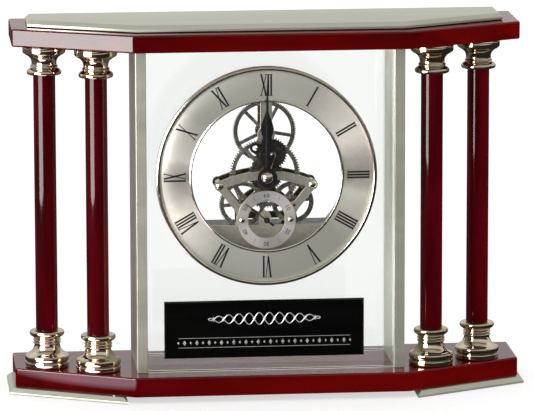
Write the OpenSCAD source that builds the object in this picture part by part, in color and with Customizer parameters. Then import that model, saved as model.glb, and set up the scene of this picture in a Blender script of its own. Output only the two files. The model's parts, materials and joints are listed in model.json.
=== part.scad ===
// Desk award clock: two lacquered boards held apart by four turned columns and a glass box,
// with an open gear-train movement set in the front pane.
// Origin at the bottom centre of the whole clock, X to the right, Y to the back, Z up.

/* [Boards] */
// Width of both boards
board_w = 254; // [230:1:320]
// Depth of both boards
board_d = 67.5; // [66:0.5:90]
// Width of the straight front edge between the two cut corners
front_w = 137.2; // [136:0.2:150]
// Depth of each cut corner at the end of the board
corner_d = 29.5; // [20:0.5:34]
// Thickness of the base board
base_t = 10; // [9:0.5:16]
// Thickness of the top board
top_t = 9; // [8:0.5:16]
// Clear height between the boards
gap_h = 162.6; // [156:0.2:240]

/* [Top plate] */
// Distance from the board's edge to the plate
plate_inset = 8; // [4:0.5:14]
// Thickness of the plate
plate_t = 3.2; // [2.4:0.1:5]
// Width of the bevel round the plate's top
plate_bevel = 2; // [0.3:0.1:2.2]
// Thickness of the foam pad that holds the plate
pad_t = 0.4; // [0.3:0.1:1]
// Distance from the plate's edge to the pad
pad_inset = 0.8; // [0.4:0.1:3]

/* [Feet] */
// Thickness of the foot plates
foot_t = 3; // [2.5:0.1:5]
// Length of each foot plate along the board
foot_len = 54.5; // [50:0.5:70]
// How far the foot plates stand out past the board
foot_proud = 3; // [0:0.5:6]
// Width of the bevel round each foot plate's upper edge
foot_bevel = 2; // [0.3:0.1:2.2]
// Diameter of the foot screws
foot_screw_d = 3; // [2:0.5:4]

/* [Columns] */
// Diameter of the column shafts
column_d = 11; // [9:0.5:14]
// Distance from the end of the board to the middle of an outer column
outer_inset = 18.4; // [16:0.1:26]
// Distance across from an outer column to the inner one
column_pitch = 25; // [24:0.5:27]
// Distance from the cut corner's edge to the middle of a column
column_inset = 11.4; // [11.3:0.1:14]
// How far all four columns stand to the right of the boards' middle
column_shift = -2.2; // [-3:0.1:3]
// Height of the turned column foot
foot_h = 18.5; // [17:0.5:24]
// Height of the turned column head
head_h = 14.5; // [13:0.5:20]
// Diameter of the drum under the column foot
drum_d = 22.3; // [20:0.1:22.6]
// Height of that drum
drum_h = 6.2; // [5:0.1:8]
// Diameter of the flange on the column head
flange_d = 21.4; // [19:0.1:22.6]
// How deep the shaft goes into its foot and its head
socket_deep = 4; // [2:0.5:5]
// Diameter of the tie rod inside each column
rod_d = 4; // [3:0.5:5]

/* [Glass box] */
// Width across the two side plates
box_w = 134; // [126:0.5:136]
// Thickness of the side plates
side_t = 5.3; // [3:0.1:7]
// Depth of the side plates
side_d = 50; // [40:0.5:54]
// Distance from the board's front edge to the side plates
side_set = 10.5; // [8:0.5:12]
// Thickness of the glass panes
pane_t = 5; // [4:0.5:6]
// Distance from the side plates' front to the front pane, and from their back to the rear pane
pane_set = 1.5; // [0:0.1:3]
// Radius of the access hole in the rear pane
access_r = 46; // [30:1:52]

/* [Name plate] */
// Width of the name plate
name_w = 100; // [60:1:110]
// Height of the name plate
name_h = 29; // [15:0.5:31]
// Thickness of the name plate
name_t = 1.2; // [0.8:0.1:2]
// Distance from the base board up to the name plate
name_up = 7; // [4:0.1:12]
// How far it sits to the right of the pane's middle
name_shift = -3.4; // [-4:0.1:4]

/* [Dial] */
// Outer radius of the bezel
bezel_r = 55; // [54:0.5:58]
// Width of the bezel's face
bezel_w = 2; // [1.5:0.1:3]
// How far the bezel stands out of the pane
bezel_proud = 4; // [3:0.1:6]
// Distance from the bezel up to the top board
dial_drop = 8.7; // [3:0.1:10]
// How far the dial sits to the right of the pane's middle
dial_shift = -2.2; // [-3:0.1:3]
// How far the bezel stands in front of the hour ring
bezel_lip = 1.5; // [1:0.1:2]
// Inner radius of the hour ring
ring_r = 38.5; // [36:0.1:40]
// Thickness of the hour ring
ring_t = 1; // [0.8:0.1:1.5]
// Width of the polished ring inside the hour ring
rim_w = 1.2; // [0.8:0.1:1.5]
// Inner radius of the case
case_r = 46; // [44:0.5:47]
// Wall of the case
case_wall = 2.5; // [1.5:0.1:3]
// Depth of the case behind the hour ring
case_deep = 27; // [24:0.5:32]
// Thickness of the rubber band round the case
gasket_t = 1.1; // [0.8:0.1:1.5]

/* [Hands] */
// Length of the minute hand
minute_len = 51; // [40:0.5:52]
// Length of the hour hand
hour_len = 35; // [28:0.5:37]
// Length of the second hand
second_len = 13.8; // [10:0.1:14.2]
// Length of the second hand's tail
tail_len = 4.4; // [3:0.1:6]
// Where the second hand points at rest, in seconds
second_rest = 51.5; // [0:0.5:59.5]
// Thickness of the hands
hand_t = 0.4; // [0.3:0.05:0.6]

/* [Gear train] */
// Radius of the centre arbor
arbor_r = 0.95; // [0.8:0.05:1.1]
// Radius of the other arbors
pivot_r = 0.75; // [0.6:0.05:0.9]
// Running clearance between an arbor and its bore
run_gap = 0.05; // [0.02:0.01:0.08]
// Module of the centre wheel and the pinions that it drives
train_m = 0.43; // [0.4:0.01:0.44]
// Module of the third wheel and the seconds pinion
second_m = 0.3055; // [0.29:0.0005:0.31]
// Thickness of the wheels
wheel_t = 1.2; // [0.8:0.1:1.4]
// Width of the wheels' rims inside the teeth
rim_in = 1.9; // [1.4:0.1:2.4]
// Width of the wheels' spokes
spoke_w = 1.7; // [1:0.1:2.4]

/* [Movement] */
// Thickness of the front bridge and the rear plate
bridge_t = 1.8; // [1.2:0.1:2]
// Height of the front bridge's arch
arch_w = 4.3; // [3:0.1:5]
// Width of the arms that run down to the seconds ring
arm_w = 4; // [3:0.1:5]
// Width of the bars above the centre
bar_w = 6; // [4:0.1:8]
// Outer radius of the seconds ring
second_ring_r = 14.6; // [13:0.1:15]
// Inner radius of the seconds ring
second_ring_in = 9.3; // [8:0.1:10]
// Thickness of the seconds ring
second_ring_t = 0.8; // [0.5:0.1:1]
// Diameter of the battery cell
cell_d = 10.5; // [10:0.1:10.5]
// Length of the battery cell
cell_len = 44.5; // [40:0.1:44.5]

/* [Hidden] */
$fn = 64;

// Heights of the boards
base_z = foot_t;
gap_z = base_z + base_t;
head_z = gap_z + gap_h;
plate_z = head_z + top_t + pad_t;

// The cut corners, and the board's front edge with the clock's box centred on Y
corner_w = (board_w - front_w) / 2;
slant = atan(corner_d / corner_w);
foot_x = board_w / 2 - foot_len;
foot_tip = foot_proud / cos(slant) - (foot_x - front_w / 2) * tan(slant);
front_y = (max(foot_tip, 0) - board_d) / 2;

// Columns
outer_x = board_w / 2 - outer_inset;
inner_x = outer_x - column_pitch;
rod_gap = 0.2;
nut_r = 4;
nut_h = 3.2;
neck_r = column_d / 2 + 0.7;

// Glass box
side_y = front_y + side_set;
pane_y = side_y + pane_set;
rear_pane_y = side_y + side_d - pane_set - pane_t;
pane_w = box_w - 2 * side_t;

// Dial: the depth d of every piece is counted back from the hour ring's front face
dial_z = head_z - dial_drop - bezel_r;
ring_y = pane_y - bezel_proud + bezel_lip;
seat_d = bezel_proud - bezel_lip;
ring_out_r = bezel_r - bezel_w;
case_out_r = case_r + case_wall;
hole_r = case_out_r + gasket_t;

// Depths of the layers
cap_d = -7;
minute_d = -4.6;
hour_d = -3.2;
second_d = -0.6;
second_ring_d = 1.2;
bridge_d = second_ring_d + second_ring_t;
bridge_back = bridge_d + bridge_t;
work_d = bridge_back + 0.8;
cannon_d = work_d + 1.6;
centre_d = cannon_d + 2;
third_d = centre_d + 2.2;
upper_d = third_d + 1.6;
rear_d = upper_d + wheel_t + 1.8;
chord_d = centre_d + 0.8;
chord_t = 1;
work_t = 1;
knob_d = rear_d + bridge_t + 1.4;

// Teeth, and the ratios they give
centre_n = 80;
third_pinion_n = 10;
third_n = 75;
second_pinion_n = 10;
upper_n = 104;
upper_m = 0.3;
side_pinion_n = 16;
cannon_n = 12;
minute_n = 36;
cannon_m = 0.4375;
hour_n = 40;
minute_pinion_n = 10;
hour_m = 0.42;

// Centres of the arbors, across and up from the centre arbor
function polar(r, a) = [r * cos(a), r * sin(a)];
second_at = [0, -22.2];
third_reach = (centre_n + third_pinion_n) / 2 * train_m;
second_reach = (third_n + second_pinion_n) / 2 * second_m;
second_drop = -second_at[1];
third_drop = (third_reach ^ 2 - second_reach ^ 2 + second_drop ^ 2) / (2 * second_drop);
third_at = [-sqrt(third_reach ^ 2 - third_drop ^ 2), -third_drop];
side_reach = (centre_n + side_pinion_n) / 2 * train_m;
upper_at = [0, side_reach];
side_at = polar(side_reach, -47.4);
work_reach = (cannon_n + minute_n) / 2 * cannon_m;
minute_at = polar(work_reach, 75);

// Phases of the wheels, so that every pair is in mesh at rest
function mesh(at_a, phase_a, n_a, n_b) = at_a + 180 + (at_a - phase_a) * n_a / n_b + 180 / n_b;
function bearing(a, b) = atan2(b[1] - a[1], b[0] - a[0]);
centre_at = [0, 0];
centre_phase = 90;
third_pinion_phase = mesh(bearing(centre_at, third_at), centre_phase, centre_n, third_pinion_n);
third_phase = 0;
second_phase = mesh(bearing(third_at, second_at), third_phase, third_n, second_pinion_n);
upper_phase = mesh(90, centre_phase, centre_n, side_pinion_n);
side_phase = mesh(bearing(centre_at, side_at), centre_phase, centre_n, side_pinion_n);
cannon_phase = 75;
minute_phase = mesh(75, cannon_phase, cannon_n, minute_n);
minute_pinion_phase = 255;
hour_phase = mesh(255, minute_pinion_phase, minute_pinion_n, hour_n);

// Bridge and plates
boss_at = [23.1, -5];
boss_r = 2.6;
arch_r = (boss_at[0] ^ 2 + boss_at[1] ^ 2) / (-2 * boss_at[1]);
pad_at = [12.1, second_at[1]];
pad_r = 2.3;
hub_r = 3.6;
bearing_r = 2.1;
bar_boss_r = 4.3;
pillar_r = 1.9;
chord_z = -26.1;
screw_r = 0.9;
dome_h = 0.8;

arm_foot = [13.5, -17];
stud_r = 0.7;
stud_arm_w = 3.4;
pipe_r = arbor_r + 0.6;
cap_r = 3.2;
cap_bow = 3.3;
side_wheel_r = 10.5;

// Drive housing
house_r = case_r - 0.5;
house_deep = 15.5;
house_wall = 0.8;
cell_at = [0, -33.2];
cell_gap = 0.3;
motor_deep = 2.6;
house_d = chord_d + chord_t;
motor_mid = house_d + house_wall + motor_deep / 2;
bay_d = house_d + 2 * house_wall + motor_deep;
cell_y = bay_d + cell_gap + cell_d / 2;

// Where the cut corner meets the board's end, for an outline set in by this much
function corner_y(inset) = (inset + (corner_w - inset) * sin(slant)) / cos(slant);

// Outline of a board, or of a plate set in from its edge
module board_outline(inset) {
    end_x = board_w / 2 - inset;
    flat_x = front_w / 2 - inset * tan(slant / 2);
    back = board_d - inset;
    corner = corner_y(inset);
    polygon([
        [-flat_x, inset], [flat_x, inset], [end_x, corner], [end_x, back], [-end_x, back], [-end_x, corner]
    ]);
}

// Outline of the right foot plate, set in by the bevel at its upper edge
module foot_outline(inset) {
    end_x = board_w / 2 + foot_proud - inset;
    near_x = foot_x + inset;
    tip = -foot_tip + inset * (1 + sin(slant)) / cos(slant);
    end_y = corner_y(inset - foot_proud);
    polygon([[near_x, tip], [end_x, end_y], [end_x, board_d - inset], [near_x, board_d - inset]]);
}

// A flat piece drawn facing the front, its front face d behind the hour ring's face
module facing(d, t) {
    translate([dial_shift, ring_y + d + t, dial_z]) rotate([90, 0, 0]) linear_extrude(t) children();
}

// A turned piece on an axis that runs to the back: its profile is radius across and depth down
module turned(at, d) {
    translate([dial_shift + at[0], ring_y + d, dial_z + at[1]]) rotate([-90, 0, 0])
        rotate_extrude() children();
}

// A round bar that runs to the back
module bar_to_back(at, d, t, r) {
    translate([dial_shift + at[0], ring_y + d, dial_z + at[1]]) rotate([-90, 0, 0]) cylinder(r = r, h = t);
}

module disc(at, r) {
    translate(at) circle(r);
}

// A straight bar between two points
module link(a, b, w) {
    run = b - a;
    translate(a) rotate(atan2(run[1], run[0])) translate([0, -w / 2]) square([norm(run), w]);
}

module both_sides() {
    children();
    mirror([1, 0]) children();
}

// One tooth: each row is a radius and a share of the pitch
function tooth(root, pitch, tip) = [
    [root, -0.27], [pitch, -0.2], [tip, -0.1], [tip, 0.1], [pitch, 0.2], [root, 0.27]
];

// Points round a toothed outline
function gear_points(n, m, phase, add, ded) = let(r = n * m / 2) [
    for (i = [0 : n - 1])
        for (p = tooth(r - ded * m, r, r + add * m))
            polar(p[0], phase + (i + p[1]) * 360 / n)
];

module wheel_teeth(n, m, phase) {
    polygon(gear_points(n, m, phase, 0.8, 1.1));
}

module pinion_teeth(n, m, phase) {
    polygon(gear_points(n, m, phase, 0.7, 1.1));
}

// A wheel with straight spokes round a hub
module spoked(n, m, phase, rim, spokes, turn, hub, bore) {
    inside = n * m / 2 - 1.1 * m - rim;
    difference() {
        union() {
            difference() {
                wheel_teeth(n, m, phase);
                circle(inside);
            }
            for (i = [0 : spokes - 1]) rotate(turn + i * 360 / spokes)
                translate([0, -spoke_w / 2]) square([inside + 0.3, spoke_w]);
            circle(hub);
        }
        circle(bore);
    }
}

// Where each column stands
function column_at(x, side) = [
    side * x + column_shift,
    front_y + (x + side * column_shift - front_w / 2) * tan(slant) + column_inset / cos(slant)
];
COLUMNS = [column_at(outer_x, -1), column_at(inner_x, -1), column_at(inner_x, 1), column_at(outer_x, 1)];

module at_columns() {
    for (at = COLUMNS) translate([at[0], at[1], 0]) children();
}

// Where the foot screws go, in from the foot plate's corners
SCREWS = [
    [foot_x + 6, front_y + board_d - 7],
    [board_w / 2 - 6, front_y + board_d - 7],
    [board_w / 2 - 6, front_y + corner_d + 8],
    [foot_x + 6, front_y + 7]
];

module at_foot_screws() {
    both_ends() for (at = SCREWS) translate([at[0], at[1], 0]) children();
}

module both_ends() {
    children();
    mirror([1, 0, 0]) children();
}

// Where the screws enter the ends of the side plates
module at_side_screws() {
    both_ends() for (y = [side_y + 8, side_y + side_d - 8])
        translate([box_w / 2 - side_t / 2, y, 0]) children();
}

module base_board() {
    color([0.36, 0.02, 0.03]) difference() {
        translate([0, front_y, base_z]) linear_extrude(base_t) board_outline(0);
        at_columns() translate([0, 0, base_z - 1]) cylinder(d = rod_d + 2 * rod_gap, h = base_t + 2);
        at_columns() translate([0, 0, base_z - 1]) cylinder(r = nut_r + 1, h = nut_h + 1.8);
        at_foot_screws() translate([0, 0, base_z - 1]) cylinder(d = foot_screw_d, h = 7);
        at_side_screws() translate([0, 0, base_z - 1]) cylinder(d = 3.4, h = base_t + 2);
        at_side_screws() translate([0, 0, base_z - 1]) cylinder(d = 6.4, h = 4);
    }
}

module top_board() {
    color([0.36, 0.02, 0.03]) difference() {
        translate([0, front_y, head_z]) linear_extrude(top_t) board_outline(0);
        at_columns() translate([0, 0, head_z - 1]) cylinder(d = rod_d + 2 * rod_gap, h = top_t + 2);
        at_columns() translate([0, 0, head_z + top_t - nut_h - 0.8]) cylinder(r = nut_r + 1, h = nut_h + 1.8);
        at_side_screws() translate([0, 0, head_z - 1]) cylinder(d = 3.4, h = top_t + 2);
        at_side_screws() translate([0, 0, head_z + top_t - 3]) cylinder(d = 6.4, h = 4);
    }
}

module top_plate_pad() {
    color([0.1, 0.1, 0.1]) translate([0, front_y, head_z + top_t])
        linear_extrude(pad_t) board_outline(plate_inset + pad_inset);
}

module top_plate() {
    color([0.72, 0.72, 0.68]) translate([0, front_y, plate_z]) hull() {
        linear_extrude(plate_t - plate_bevel) board_outline(plate_inset);
        linear_extrude(plate_t) board_outline(plate_inset + plate_bevel);
    }
}

module foot_plate() {
    difference() {
        translate([0, front_y, 0]) union() {
            linear_extrude(foot_t - foot_bevel) foot_outline(0);
            translate([0, 0, foot_t - foot_bevel]) hull() {
                linear_extrude(0.01) foot_outline(0);
                linear_extrude(foot_bevel) foot_outline(foot_bevel);
            }
        }
        at_foot_screws() translate([0, 0, -1]) cylinder(d = foot_screw_d + 0.4, h = foot_t + 2);
        at_foot_screws() translate([0, 0, -1]) cylinder(d = 2 * foot_screw_d, h = 2.5);
    }
}

module left_foot() {
    color([0.7, 0.7, 0.66]) mirror([1, 0, 0]) foot_plate();
}

module right_foot() {
    color([0.7, 0.7, 0.66]) foot_plate();
}

module foot_screws() {
    color([0.6, 0.6, 0.6]) at_foot_screws() difference() {
        union() {
            translate([0, 0, 0.3]) cylinder(d = 2 * foot_screw_d - 0.4, h = 1.2);
            translate([0, 0, 0.3]) cylinder(d = foot_screw_d, h = base_z + 5.4);
        }
        cylinder(r = 0.9, h = 1, $fn = 6);
    }
}

// Column pieces, named from the left
module column(i) {
    at = COLUMNS[i];
    color([0.42, 0.02, 0.05]) translate([at[0], at[1], gap_z + foot_h - socket_deep]) difference() {
        cylinder(d = column_d, h = gap_h - foot_h - head_h + 2 * socket_deep);
        translate([0, 0, -1]) cylinder(d = rod_d + 2 * rod_gap, h = gap_h);
    }
}

module outer_left_column() {
    column(0);
}

module inner_left_column() {
    column(1);
}

module inner_right_column() {
    column(2);
}

module outer_right_column() {
    column(3);
}

// The turned foot: drum, hollow neck, bead and collar, bored for the shaft and the rod
module column_foot(i) {
    at = COLUMNS[i];
    drum = drum_d / 2;
    collar = column_d / 2 + 3.2;
    top = foot_h;
    bore = rod_d / 2 + rod_gap;
    neck_z = drum_h + 6.3;
    color([0.78, 0.76, 0.7]) translate([at[0], at[1], gap_z]) rotate_extrude() difference() {
        polygon(concat(
            [[0, 0], [drum - 0.8, 0], [drum, 0.8], [drum, drum_h / 2 - 0.25], [drum - 0.35, drum_h / 2]],
            [[drum, drum_h / 2 + 0.25], [drum, drum_h - 1], [drum - 0.9, drum_h]],
            [for (a = [0 : 15 : 90]) [neck_r + (drum - 1.1 - neck_r) * (1 - sin(a)),
                neck_z - (neck_z - drum_h) * cos(a)]],
            [[neck_r + 0.8, neck_z + 0.3], [neck_r + 0.8, neck_z + 1.1], [neck_r + 0.2, neck_z + 1.5]],
            [[collar - 1, top - 3.6], [collar, top - 2.8], [collar, top - 1.2], [collar - 0.9, top], [0, top]]
        ));
        square([bore, foot_h]);
        translate([0, foot_h - socket_deep]) square([column_d / 2, foot_h]);
    }
}

module outer_left_column_foot() {
    column_foot(0);
}

module inner_left_column_foot() {
    column_foot(1);
}

module inner_right_column_foot() {
    column_foot(2);
}

module outer_right_column_foot() {
    column_foot(3);
}

// The turned head: collar, beads, hollow neck and flange under the top board
module column_head(i) {
    at = COLUMNS[i];
    flange = flange_d / 2;
    collar = column_d / 2 + 3.2;
    bore = rod_d / 2 + rod_gap;
    neck_z = 5.4;
    flange_z = head_h - 3.8;
    color([0.78, 0.76, 0.7]) translate([at[0], at[1], head_z - head_h]) rotate_extrude() difference() {
        polygon(concat(
            [[0, 0], [collar - 0.8, 0], [collar, 0.9], [collar, 2], [collar - 0.8, 2.8]],
            [[neck_r + 0.7, 3.4], [neck_r + 0.7, 4.2], [neck_r, neck_z]],
            [for (a = [90 : -15 : 0]) [neck_r + (flange - 1.4 - neck_r) * (1 - sin(a)),
                neck_z + (flange_z - neck_z) * cos(a)]],
            [[flange - 0.8, flange_z], [flange, flange_z + 0.8], [flange, head_h - 0.8]],
            [[flange - 0.8, head_h], [0, head_h]]
        ));
        square([bore, head_h]);
        square([column_d / 2, socket_deep]);
    }
}

module outer_left_column_head() {
    column_head(0);
}

module inner_left_column_head() {
    column_head(1);
}

module inner_right_column_head() {
    column_head(2);
}

module outer_right_column_head() {
    column_head(3);
}

module tie_rods() {
    color([0.6, 0.6, 0.6]) at_columns()
        translate([0, 0, base_z + 0.6]) cylinder(d = rod_d, h = plate_z - pad_t - base_z - 1.2);
}

module rod_nut() {
    difference() {
        cylinder(r = nut_r, h = nut_h, $fn = 6);
        translate([0, 0, -1]) cylinder(d = rod_d, h = nut_h + 2);
    }
}

module rod_nuts() {
    color([0.65, 0.65, 0.65]) {
        at_columns() translate([0, 0, base_z + 0.8]) rod_nut();
        at_columns() translate([0, 0, head_z + top_t - nut_h - 0.8]) rod_nut();
    }
}

module side_plate() {
    difference() {
        translate([pane_w / 2, side_y, gap_z]) cube([side_t, side_d, gap_h]);
        at_side_screws() translate([0, 0, gap_z - 1]) cylinder(d = 3, h = 11);
        at_side_screws() translate([0, 0, head_z - 10]) cylinder(d = 3, h = 11);
    }
}

module left_side_plate() {
    color([0.68, 0.68, 0.62]) mirror([1, 0, 0]) side_plate();
}

module right_side_plate() {
    color([0.68, 0.68, 0.62]) side_plate();
}

module side_plate_screws() {
    color([0.6, 0.6, 0.6]) at_side_screws() {
        translate([0, 0, base_z + 0.6]) cylinder(d = 6, h = 2.4);
        translate([0, 0, base_z + 0.6]) cylinder(d = 3, h = base_t + 8);
        translate([0, 0, head_z + top_t - 3]) cylinder(d = 6, h = 2.4);
        translate([0, 0, head_z - 9]) cylinder(d = 3, h = top_t + 8);
    }
}

module pane(y, hole) {
    color([0.85, 0.92, 0.9, 0.3]) difference() {
        translate([-pane_w / 2, y, gap_z]) cube([pane_w, pane_t, gap_h]);
        translate([dial_shift, y - 1, dial_z]) rotate([-90, 0, 0])
            cylinder(r = hole, h = pane_t + 2, $fn = 96);
    }
}

module front_pane() {
    pane(pane_y, hole_r);
}

module rear_pane() {
    pane(rear_pane_y, access_r);
}

module name_plate() {
    color([0.05, 0.05, 0.05])
        translate([name_shift - name_w / 2, pane_y - name_t, gap_z + name_up]) cube([name_w, name_t, name_h]);
}

module bezel() {
    color([0.85, 0.85, 0.8]) turned([0, 0], -bezel_lip) polygon([
        [ring_out_r, 0.5], [ring_out_r + 0.5, 0], [bezel_r - 0.6, 0], [bezel_r, 0.6],
        [bezel_r, bezel_proud], [ring_out_r, bezel_proud]
    ]);
}

module hour_ring() {
    color([0.7, 0.69, 0.67]) turned([0, 0], 0) translate([ring_r, 0]) square([ring_out_r - ring_r, ring_t]);
}

module inner_rim() {
    color([0.85, 0.85, 0.82]) turned([0, 0], -0.7) polygon([
        [ring_r - rim_w, 0.4], [ring_r - rim_w + 0.4, 0], [ring_r - 0.4, 0], [ring_r, 0.4],
        [ring_r, ring_t + 0.7], [ring_r - rim_w, ring_t + 0.7]
    ]);
}

// The case: a tube with a flange that rests on the pane and carries the hour ring
module clock_case() {
    color([0.2, 0.2, 0.2]) turned([0, 0], ring_t) {
        translate([case_r, 0]) square([case_wall, case_deep - ring_t]);
        translate([case_r, 0]) square([ring_out_r - case_r, seat_d - ring_t]);
    }
}

// The rubber band that grips the hole in the pane, with a lip behind it
module case_gasket() {
    color([0.12, 0.12, 0.12]) turned([0, 0], seat_d) {
        translate([case_out_r, 0]) square([gasket_t, pane_t + 2]);
        translate([case_out_r, pane_t]) square([2 * gasket_t, 2]);
    }
}

// The arch and the two arms that run down to the seconds ring
module crown() {
    intersection() {
        translate([0, -arch_r]) difference() {
            circle(arch_r + arch_w / 2, $fn = 180);
            circle(arch_r - arch_w / 2, $fn = 180);
        }
        translate([-boss_at[0], -arch_r]) square([2 * boss_at[0], arch_r + arch_w]);
    }
    both_sides() {
        disc(boss_at, boss_r);
        link(boss_at, arm_foot, arm_w);
        disc(arm_foot, arm_w / 2 + 0.2);
        link(arm_foot, pad_at, arm_w);
        disc(pad_at, pad_r);
    }
}

module front_bridge() {
    color([0.66, 0.66, 0.62]) facing(bridge_d, bridge_t) difference() {
        union() {
            crown();
            circle(hub_r);
            link([0, 0], minute_at, stud_arm_w);
            disc(minute_at, bearing_r);
            disc(third_at, bearing_r);
            disc(side_at, bearing_r);
        }
        circle(pipe_r + run_gap);
        disc(minute_at, stud_r);
        disc(third_at, pivot_r + run_gap);
        disc(side_at, pivot_r + run_gap);
        both_sides() disc(boss_at, screw_r);
        both_sides() disc(pad_at, screw_r);
    }
}

// The front bar above the centre, from the case down to its boss
module upper_bar() {
    color([0.66, 0.66, 0.64]) facing(bridge_d, bridge_t) difference() {
        union() {
            case_bar(upper_at);
            disc(upper_at, bar_boss_r);
        }
        disc(upper_at, pivot_r + run_gap);
    }
}

// A bar from the case's inner wall down to this point
module case_bar(at) {
    intersection() {
        translate([-bar_w / 2, at[1]]) square([bar_w, case_r]);
        circle(case_r, $fn = 180);
    }
}

// The rear plate has the same crown, with a ring behind the seconds ring and a bar up to the case
module rear_plate() {
    color([0.35, 0.25, 0.18]) facing(rear_d, bridge_t) difference() {
        union() {
            crown();
            circle(hub_r);
            case_bar([0, 0]);
            disc(upper_at, bar_boss_r);
            disc(third_at, bearing_r);
            disc(side_at, bearing_r);
            translate(second_at) difference() {
                circle(second_ring_r);
                circle(second_ring_in);
            }
            link([-second_ring_in - 1, second_at[1]], [second_ring_in + 1, second_at[1]], stud_arm_w);
            disc(second_at, bearing_r);
        }
        translate([-case_r, chord_z - case_r]) square([2 * case_r, case_r]);
        circle(arbor_r + run_gap);
        for (at = [upper_at, third_at, side_at, second_at]) disc(at, pivot_r + run_gap);
        both_sides() disc(boss_at, screw_r);
    }
}

module pillars() {
    color([0.7, 0.7, 0.66]) for (x = [-1, 1]) {
        bar_to_back([x * boss_at[0], boss_at[1]], bridge_back, rear_d - bridge_back, pillar_r);
        bar_to_back([x * pad_at[0], pad_at[1]], bridge_back, chord_d - bridge_back, pillar_r);
    }
}

// A screw with a domed head standing on the face at depth d
module domed_screw(at, d, head, length) {
    bow = (head ^ 2 + dome_h ^ 2) / (2 * dome_h);
    turned(at, d) {
        intersection() {
            translate([0, bow - dome_h]) circle(bow);
            translate([0, -dome_h]) square([head, dome_h]);
        }
        square([screw_r, length]);
    }
}

module bridge_screws() {
    color([0.85, 0.85, 0.82]) for (x = [-1, 1]) {
        domed_screw([x * boss_at[0], boss_at[1]], bridge_d, 2, bridge_t);
        domed_screw([x * pad_at[0], pad_at[1]], second_ring_d, 1.5, second_ring_t + bridge_t);
    }
}

module seconds_ring() {
    color([0.8, 0.8, 0.78]) facing(second_ring_d, second_ring_t) difference() {
        disc(second_at, second_ring_r);
        disc(second_at, second_ring_in);
        both_sides() disc(pad_at, screw_r);
    }
}

// A slice across the bottom of the case, under a level line
module segment(r, z) {
    intersection() {
        circle(r, $fn = 180);
        translate([-r, z - r]) square([2 * r, r]);
    }
}

// The plate across the bottom of the dial, with ears for the pillars and a tab for the seconds arbor
module chord_plate() {
    color([0.66, 0.66, 0.62]) facing(chord_d, chord_t) difference() {
        union() {
            segment(case_r, chord_z);
            disc(second_at, 3);
            translate([-3, chord_z - 1]) square([6, second_at[1] - chord_z + 1]);
            both_sides() {
                disc(pad_at, pad_r);
                translate([pad_at[0] - pad_r, chord_z - 1])
                    square([2 * pad_r, pad_at[1] - chord_z + 1]);
            }
        }
        disc(second_at, pivot_r + run_gap);
    }
}

// The drive housing: a motor space behind the chord plate, and a bay for the cell open to the back
module drive_housing() {
    bay_w = cell_len + 3.2;
    bay_h = cell_d + 2 * cell_gap;
    color([0.13, 0.11, 0.1]) difference() {
        facing(house_d, house_deep) segment(house_r, chord_z);
        facing(house_d + house_wall, motor_deep) segment(house_r - house_wall, chord_z - house_wall);
        facing(bay_d, house_deep) intersection() {
            circle(house_r - house_wall, $fn = 180);
            translate([-bay_w / 2, cell_at[1] - bay_h / 2]) square([bay_w, bay_h]);
        }
        facing(third_d - 0.3, wheel_t + 0.6) disc(third_at, (third_n / 2 + 1) * second_m + 0.4);
    }
}

module circuit_board() {
    color([0.05, 0.3, 0.12]) facing(house_d + house_wall + 1.2, 0.8)
        translate([-29, -33]) square([15, 5]);
}

module motor_coil() {
    color([0.7, 0.35, 0.15]) translate([dial_shift + 3, ring_y + motor_mid, dial_z - 38.5])
        rotate([0, 90, 0]) cylinder(r = 1.1, h = 12);
}

module motor_stator() {
    color([0.5, 0.5, 0.5]) facing(motor_mid - 0.3, 0.6) difference() {
        translate([0, -37]) square([18, 8]);
        disc([9, -33], 2.6);
    }
}

module battery() {
    color([0.75, 0.6, 0.3]) translate([dial_shift - cell_len / 2, ring_y + cell_y, dial_z + cell_at[1]])
        rotate([0, 90, 0]) {
            cylinder(d = cell_d, h = cell_len - 1);
            cylinder(d = 3.8, h = cell_len);
        }
}

module battery_contacts() {
    color([0.8, 0.8, 0.78]) for (x = [-1, 1])
        translate([dial_shift - 0.4 + x * (cell_len / 2 + 0.4), ring_y + cell_y - 4,
            dial_z + cell_at[1] - 3.5])
            cube([0.8, 8, 7]);
}

// The centre arbor carries the cannon pinion, the centre wheel, the minute hand and the setting knob
module centre_arbor() {
    color([0.7, 0.7, 0.7]) {
        bar_to_back([0, 0], minute_d - 1, knob_d + 4 - minute_d, arbor_r);
        facing(cannon_d, work_t) difference() {
            pinion_teeth(cannon_n, cannon_m, cannon_phase);
            circle(arbor_r - 0.1);
        }
        bar_to_back([0, 0], cannon_d + work_t, centre_d - cannon_d - work_t, 1.8);
    }
}

module centre_wheel() {
    color([0.66, 0.66, 0.64]) facing(centre_d, wheel_t)
        spoked(centre_n, train_m, centre_phase, rim_in, 5, 56, 3, arbor_r);
}

module minute_hand() {
    color([0.03, 0.03, 0.03]) facing(minute_d, hand_t) difference() {
        union() {
            circle(4.9);
            polygon([
                [0.9, 1.5], [0.55, minute_len - 12], [0, minute_len], [-0.55, minute_len - 12], [-0.9, 1.5]
            ]);
        }
        circle(arbor_r);
    }
}

// The domed cap on the end of the arbor, hollow where the arbor enters it
module hand_cap() {
    high = minute_d - cap_d;
    color([0.85, 0.85, 0.83]) turned([0, 0], cap_d) difference() {
        intersection() {
            translate([0, cap_bow]) circle(cap_bow);
            square([cap_r, high]);
        }
        translate([0, high - 1]) square([arbor_r, 1]);
    }
}

module setting_knob() {
    color([0.15, 0.15, 0.15]) difference() {
        union() {
            bar_to_back([0, 0], knob_d, 4.4, 5.5);
            for (a = [0 : 30 : 330]) bar_to_back(polar(5.3, a), knob_d + 1, 3.4, 0.7);
        }
        bar_to_back([0, 0], knob_d - 1, 5, arbor_r);
    }
}

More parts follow.
